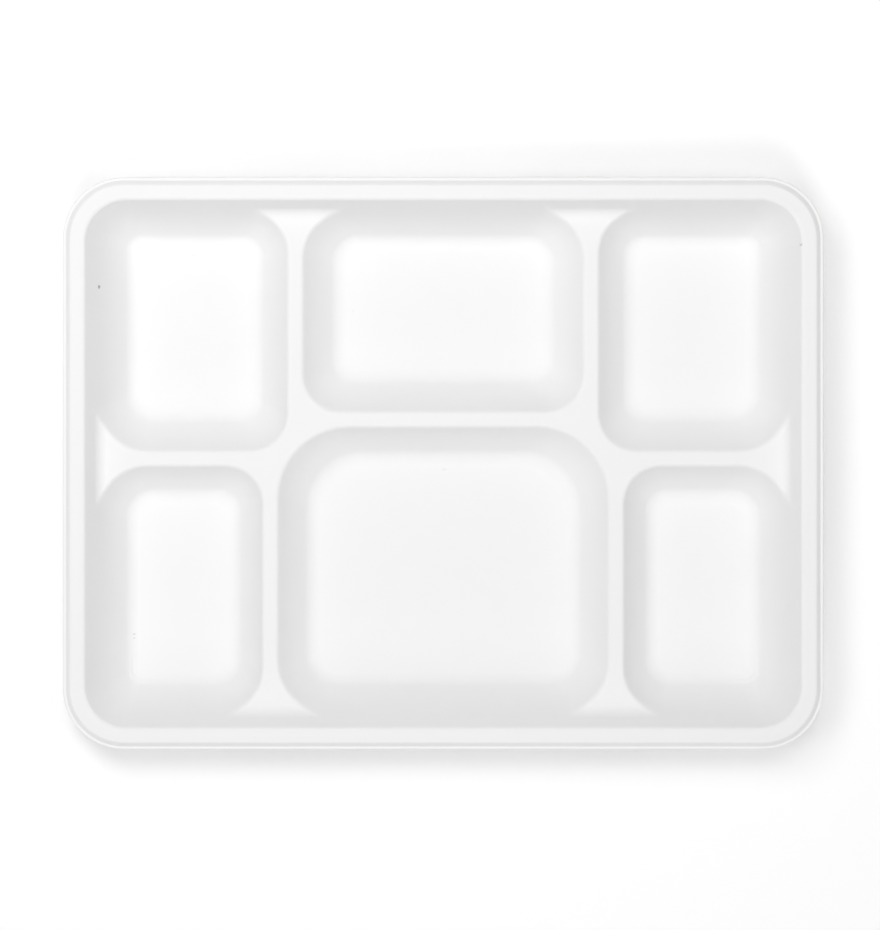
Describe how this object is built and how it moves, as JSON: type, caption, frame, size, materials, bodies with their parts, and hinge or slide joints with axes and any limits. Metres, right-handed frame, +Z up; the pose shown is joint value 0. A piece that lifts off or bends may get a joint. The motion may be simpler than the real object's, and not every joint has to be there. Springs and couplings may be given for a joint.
{
  "type": "compartment meal tray",
  "caption": "Shallow rectangular meal tray of white pressed plant fibre, with compartments parted by low flared dividers and a flat stepped rim.",
  "frame": {"origin": "middle of the footprint, on the surface that the tray stands on", "axes": "+X along the long side, +Y from the large front compartment towards the middle back one, +Z up out of the compartments"},
  "size_m": [0.32, 0.2408, 0.026],
  "materials": {
    "pressed_fibre": "matt white pressed plant fibre, smooth above and marked by a fine forming mesh below"
  },
  "bodies": {
    "root": {"tray": "pressed_fibre"}
  },
  "joints": []
}
